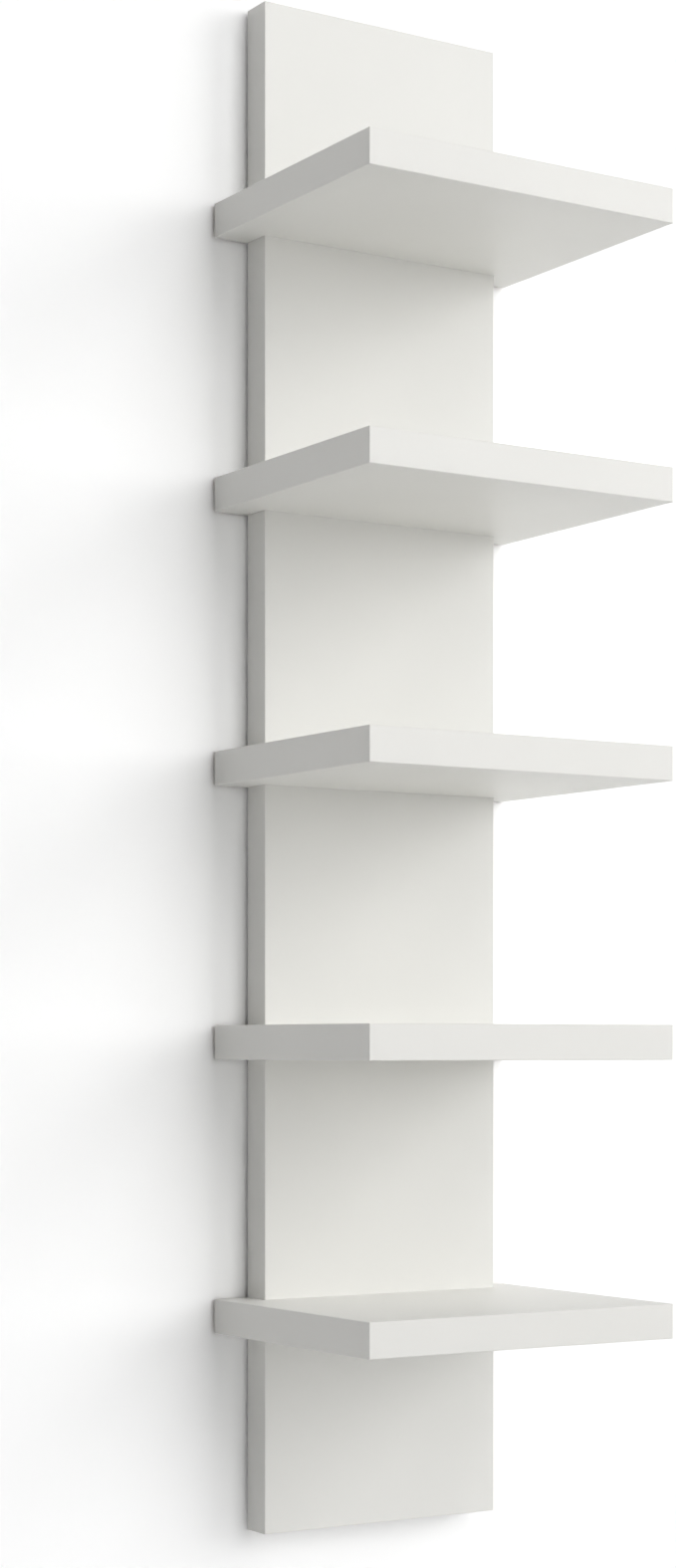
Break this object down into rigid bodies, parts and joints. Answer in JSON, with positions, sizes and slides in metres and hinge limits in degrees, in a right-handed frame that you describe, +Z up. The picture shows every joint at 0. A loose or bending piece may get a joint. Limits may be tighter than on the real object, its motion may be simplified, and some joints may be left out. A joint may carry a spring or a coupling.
{
  "type": "wall shelving unit",
  "caption": "Wall shelving unit: an upright hollow-core spine carrying equal open shelves that wrap round it, with keyhole plates let into its back for hanging.",
  "frame": {"origin": "centre of the spine's back face, on the wall plane", "axes": "+Z up, +Y into the wall, so the front looks towards -Y, and +X to the right seen from the front"},
  "size_m": [0.3, 0.24, 1.29],
  "materials": {
    "white_board": "white satin foil on fibreboard",
    "edge_band": "white satin edge band",
    "frame_wood": "raw particle board",
    "core_paper": "kraft paper honeycomb",
    "dowel_wood": "raw beech",
    "zinc_steel": "bright zinc plate"
  },
  "bodies": {
    "root": {"spine_front_skin": "white_board", "spine_back_skin": "white_board", "spine_left_stile": "frame_wood", "spine_right_stile": "frame_wood", "spine_top_rail": "frame_wood", "spine_bottom_rail": "frame_wood", "spine_cores": "core_paper", "spine_left_band": "edge_band", "spine_right_band": "edge_band", "spine_top_band": "edge_band", "spine_bottom_band": "edge_band", "spine_shelf_rail_1": "frame_wood", "spine_shelf_rail_2": "frame_wood", "spine_shelf_rail_3": "frame_wood", "spine_shelf_rail_4": "frame_wood", "spine_shelf_rail_5": "frame_wood", "shelf_1_top_skin": "white_board", "shelf_1_bottom_skin": "white_board", "shelf_1_front_rail": "frame_wood", "shelf_1_back_rail": "frame_wood", "shelf_1_side_rails": "frame_wood", "shelf_1_core": "core_paper", "shelf_1_front_band": "edge_band", "shelf_1_side_bands": "edge_band", "shelf_2_top_skin": "white_board", "shelf_2_bottom_skin": "white_board", "shelf_2_front_rail": "frame_wood", "shelf_2_back_rail": "frame_wood", "shelf_2_side_rails": "frame_wood", "shelf_2_core": "core_paper", "shelf_2_front_band": "edge_band", "shelf_2_side_bands": "edge_band", "shelf_3_top_skin": "white_board", "shelf_3_bottom_skin": "white_board", "shelf_3_front_rail": "frame_wood", "shelf_3_back_rail": "frame_wood", "shelf_3_side_rails": "frame_wood", "shelf_3_core": "core_paper", "shelf_3_front_band": "edge_band", "shelf_3_side_bands": "edge_band", "shelf_4_top_skin": "white_board", "shelf_4_bottom_skin": "white_board", "shelf_4_front_rail": "frame_wood", "shelf_4_back_rail": "frame_wood", "shelf_4_side_rails": "frame_wood", "shelf_4_core": "core_paper", "shelf_4_front_band": "edge_band", "shelf_4_side_bands": "edge_band", "shelf_5_top_skin": "white_board", "shelf_5_bottom_skin": "white_board", "shelf_5_front_rail": "frame_wood", "shelf_5_back_rail": "frame_wood", "shelf_5_side_rails": "frame_wood", "shelf_5_core": "core_paper", "shelf_5_front_band": "edge_band", "shelf_5_side_bands": "edge_band", "shelf_screws": "zinc_steel", "shelf_dowels": "dowel_wood", "hanger_plates": "zinc_steel", "hanger_screws": "zinc_steel"}
  },
  "joints": []
}
